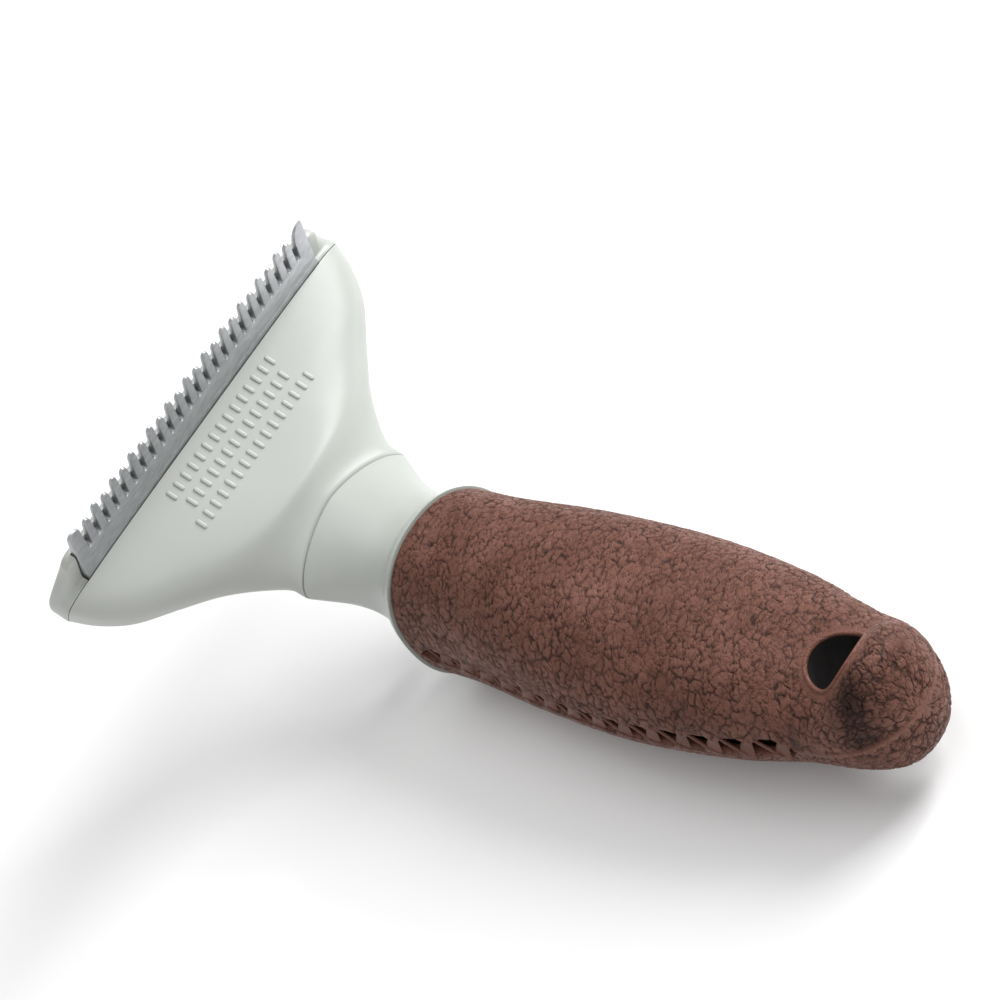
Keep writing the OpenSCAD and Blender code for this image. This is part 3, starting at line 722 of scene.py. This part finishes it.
def lip_plate():
    """Solid that closes the front of the head, swells up at the blade's ends, and backs it."""
    seam, back, front, r = HEAD_LEN + 0.05, HEAD_LEN + BLADE_T, HEAD_LEN + BLADE_T + LIP_T, 1.5
    rows = []
    swell = [(seam, 0.12, 0.0), (seam + 0.12, 0.0, 0.02)]
    swell += [(seam + (back - seam) * t, 0.0, float(smooth(1.6 * t - 0.6))) for t in np.linspace(0.15, 1, 14)]
    round_over = [(front - r + r * math.sin(f), r * (1 - math.cos(f)), 1.0)
                  for f in np.linspace(0.1, math.pi / 2, 10)]
    for u, inset, rise in swell + round_over:
        ring = lip_outline(inset, rise)
        rows.append(head_point(u, ring[:, 0], ring[:, 1]))
    return loft("lip", rows, len(rows[0]))


def head_back_shell():
    us = np.linspace(0, HEAD_LEN + 0.4, 90)
    obj = shell("head_back", us, math.pi + PARTING, 2 * math.pi - PARTING)
    cut(obj, [lip_plate()], "UNION")
    tools = [prism_across(pocket_profile(0.08), BLADE_W / 2 + 0.3)]
    for y in BLADE_SCREWS_Y:
        tools.append(cylinder((HEAD_LEN + BLADE_T + LIP_T, y, 0), (1, 0, 0), SCREW_HEAD_R, 2, 40, True))
    for u, y in SHELL_SCREWS:
        tools.append(cylinder((u, y, SCREW_SEAT - 5), (0, 0, 1), SCREW_HEAD_R, 10, 40, True))
    cut(obj, tools)
    bevel(obj, 0.18)
    return piece(obj, "head", WHITE, 40, ("head_back_shell",))


def joint_wall():
    """Wall that closes the head's hollow at the neck joint, round the root of the tongue."""
    a = np.linspace(0, 2 * math.pi, 120, endpoint=False)
    rows = [head_section(u, a, SHELL_T - 0.05 + ease) for u, ease in ((0.1, 0.15), (0.3, 0), (1.6, 0))]
    return piece(loft("joint_wall", rows, len(a)), "head", WHITE, 40)


def head_surface(u, y):
    """Height of the head's face over its middle plane."""
    w, up, n = (float(along(HEAD, u, c)) for c in (1, 2, 4))
    return up * (1 - min(abs(y) / w, 1) ** n) ** (1 / n)


def face_ribs():
    """Three rows of small raised ribs on the face, where a maker's markings would be."""
    rows = ((29.3, 15.0, 15), (25.8, 14.0, 14), (22.2, 16.4, 16))
    length, width, height, sides = 2.3, 0.8, 0.32, 20
    a = np.arange(sides) * 2 * math.pi / sides
    outline = np.stack([np.sign(np.cos(a)) * (length - width) / 2 + width / 2 * np.cos(a),
                        width / 2 * np.sin(a)], -1)
    verts, faces = [], []
    for u, half, count in rows:
        for y in np.linspace(-half, half, count):
            first = len(verts)
            for shrink, rise in ((1.0, -0.4), (1.0, height * 0.5), (0.82, height * 0.85), (0.5, height)):
                at_u = u + outline[:, 0] - np.sign(outline[:, 0]) * (1 - shrink) * width / 2
                at_y = y + outline[:, 1] * shrink
                n = np.array([head_surface(uu, yy) for uu, yy in zip(at_u, at_y)]) + rise
                verts.extend(head_point(at_u, at_y, n))
            faces += bridge(4, sides, first=first)
            faces.append(tuple(range(first + 4 * sides - 1, first + 3 * sides - 1, -1)))
            faces.append(tuple(range(first, first + sides)))
    obj = new_mesh_object("face_ribs", to_world(np.array(verts)), faces)
    tidy_normals(obj)
    return piece(obj, "head", WHITE, 50)


# ---- Blade ----

def tooth_outline():
    """Top edge of the blade as (y, n) points: round slots between round teeth, every second
    tooth lower, and a long tab at each end, pointed at one side and round at the other."""
    bottom = BLADE_TOP - SLOT_DEPTH + SLOT_R
    half = BLADE_W / 2
    arc = np.linspace(math.pi, 2 * math.pi, 9)
    first = -(SLOTS - 1) / 2 * PITCH
    tab = -half + (first - SLOT_R + half) * np.array([0.0, 0.12, 0.3, 0.55, 0.8, 0.95])
    points = list(zip(tab, BLADE_TOP - np.array([0.9, 0.3, 0.0, 0.05, 0.5, 1.3])))
    for i in range(SLOTS):
        y = first + i * PITCH
        points += [(y + SLOT_R * math.cos(f), bottom + SLOT_R * math.sin(f)) for f in arc]
        if i < SLOTS - 1:
            top = BLADE_TOP - (SHORT_BY if i % 2 == 0 else 0)
            tip_w, tip_h = PITCH / 2 - SLOT_R * 1.12, 1.5
            points += [(y + PITCH / 2 + tip_w * math.cos(f), top - tip_h + tip_h * math.sin(f))
                       for f in np.linspace(math.pi, 0, 13)]
    edge = -first + SLOT_R
    points += [(edge + 0.08, BLADE_TOP - 3.2), (edge + 0.35, BLADE_TOP - 1.9), (edge + 0.9, BLADE_TOP - 0.8),
               (edge + 1.7, BLADE_TOP - 0.15), (half - 0.3, BLADE_TOP), (half, BLADE_TOP - 0.25)]
    return points


def blade():
    """Strip with an upright root, a bevel above the head's face, and a leaning toothed edge that
    is ground down to its tips."""
    def near_face(n):
        return HEAD_LEN + CHAMFER + (BLADE_LEAN - TIP_T - CHAMFER) * np.clip((n - BEND_N) / (BLADE_TOP - BEND_N), 0, 1)

    def far_face(n):
        return HEAD_LEN + BLADE_T + (BLADE_LEAN - BLADE_T) * np.clip((n - BEND_N) / (BLADE_TOP - BEND_N), 0, 1)
    half = BLADE_W / 2
    outline = np.vstack([[(-half, BEND_N)], np.array(tooth_outline()), [(half, BEND_N)]])
    edge = np.roll(outline, -1, 0) - np.roll(outline, 1, 0)
    inward = np.stack([edge[:, 1], -edge[:, 0]], -1) / np.linalg.norm(edge, axis=1, keepdims=True)
    inward[[0, -1]] = [(1, 0), (-1, 0)]
    m, r = len(outline), 0.13
    rows = []
    for front, turn in ((True, 0), (True, 0.5), (True, 1), (False, 1), (False, 0.5), (False, 0)):
        y, n = (outline + inward * r * (1 - math.sin(turn * math.pi / 2))).T
        lift = r * (1 - math.cos(turn * math.pi / 2))
        u = near_face(n) + lift if front else far_face(n) - lift
        rows.append(head_point(u, y, n))
    obj = loft("blade_strip", rows, m)
    root = prism_across([(HEAD_LEN + 0.02, BLADE_ROOT), (HEAD_LEN + 0.02, FACE_H + 0.05),
                         (HEAD_LEN + CHAMFER, BEND_N + 0.05), (HEAD_LEN + BLADE_T, BEND_N + 0.05),
                         (HEAD_LEN + BLADE_T, BLADE_ROOT)], half - 0.01)
    cut(obj, [root], "UNION")
    cut(obj, [cylinder((HEAD_LEN, y, 0), (1, 0, 0), 1.35, 12, 32, True) for y in BLADE_SCREWS_Y])
    return piece(obj, "head", BLADE_STEEL, 30, ("blade",))


# ---- Release button ----

def release_button():
    """Thumb pad with ribs across it, its plate, and the two legs that lift the latch."""
    low, high = (np.array(v) / MM - [RIM_X, 0, 0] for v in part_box("release_button"))
    plate_z, plate_t, plate_lip, leg_len, leg_w = 0.9, 1.0, 0.7, 3.0, 1.3
    x0, x1, y1 = low[0] + plate_lip, high[0] - plate_lip, high[1] - plate_lip
    middle = (x0 + x1) / 2
    obj = box((x0, -y1, low[2] + 0.35), (x1, y1, plate_z + 0.1))
    parts = [box((low[0], low[1], plate_z), (high[0], high[1], plate_z + plate_t))]
    leg_y = 5.45
    for s in (-1, 1):
        near, far = sorted((s * leg_y, s * (leg_y + leg_w)))
        parts.append(box((middle - leg_len / 2, near, plate_z + 0.5), (middle + leg_len / 2, far, high[2])))
    for x in np.linspace(x0 + 1.1, x1 - 1.1, 4):
        parts.append(cylinder((x, 0, low[2] + 0.45), (0, 1, 0), 0.45, 2 * y1 - 2, 24))
    cut(obj, parts, "UNION")
    obj.name = "release_pad"
    bevel(obj, 0.3, 3, 40)
    return piece(obj, "button", BLACK, 40, ("release_button",))


# ---- CAD nodes that keep their shape ----

def finish_cad_nodes():
    looks = {"blade_clamp": ZINC, "blade_screws": ZINC, "shell_screws": ZINC, "core_screws": ZINC,
             "latch_spring": BLADE_STEEL, "head_tongue": WHITE, "core_face_half": BLACK, "core_back_half": BLACK}
    for node, mat in looks.items():
        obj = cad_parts[node]
        obj.data.materials.clear()
        obj.data.materials.append(mat)
    bevel(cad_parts["head_tongue"], 0.3)
    bevel(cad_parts["latch_spring"], 0.08)


# ---- Camera, light and floor ----

def camera():
    data = bpy.data.cameras.new("camera")
    data.lens = 174.07
    data.sensor_width = 36
    data.clip_start = 0.01
    obj = bpy.data.objects.new("camera", data)
    right, up, back = (0.64007, 0.54629, -0.54026), (-0.16195, 0.78330, 0.60017), (0.75105, -0.29666, 0.58984)
    turn = Matrix((right, up, back)).transposed().to_4x4()
    obj.matrix_world = Matrix.Translation((0.52425, -0.23099, 0.49231)) @ turn
    bpy.context.scene.collection.objects.link(obj)
    bpy.context.scene.camera = obj


def area_light(name, place, size, watts):
    data = bpy.data.lights.new(name, "AREA")
    data.size = size
    data.energy = watts
    obj = bpy.data.objects.new(name, data)
    obj.location = place
    target = Vector((-0.05, 0, 0.01))
    obj.rotation_euler = (target - obj.location).to_track_quat("-Z", "Y").to_euler()
    bpy.context.scene.collection.objects.link(obj)


def studio():
    low, reach = cad_box[0][2], 3.0
    corners = [(-reach, -reach, low), (reach, -reach, low), (reach, reach, low), (-reach, reach, low)]
    floor = new_mesh_object("floor", corners, [(0, 1, 2, 3)])
    mat, _, _ = material("floor_pale", (0.9, 0.9, 0.9), 0.8)
    floor.data.materials.append(mat)
    world = bpy.data.worlds.new("studio")
    bpy.context.scene.world = world
    world.use_nodes = True
    background = world.node_tree.nodes["Background"]
    background.inputs["Color"].default_value = (1, 1, 1, 1)
    background.inputs["Strength"].default_value = 0.56
    area_light("key", (0.25, 0.6, 0.55), 0.4, 5.5)
    area_light("front", (0.55, -0.25, 0.75), 0.5, 1.0)
    area_light("top", (-0.3, 0.1, 0.8), 0.6, 1.6)
    area_light("rim", (0.0, 0.75, 0.4), 0.15, 3.0)
    bpy.context.scene.view_settings.view_transform = "Standard"


camera()
grip_cover("grip_face", 1, "grip_face_cover")
grip_cover("grip_back", -1, "grip_back_cover")
hole_rim("hole_rim_face", 1)
hole_rim("hole_rim_back", -1)
hole_liner()
lacing("laces_left", 1, "lace_left")
lacing("laces_right", -1, "lace_right")
neck_collar()
head_face_shell()
head_back_shell()
joint_wall()
face_ribs()
blade()
release_button()
finish_cad_nodes()
studio()
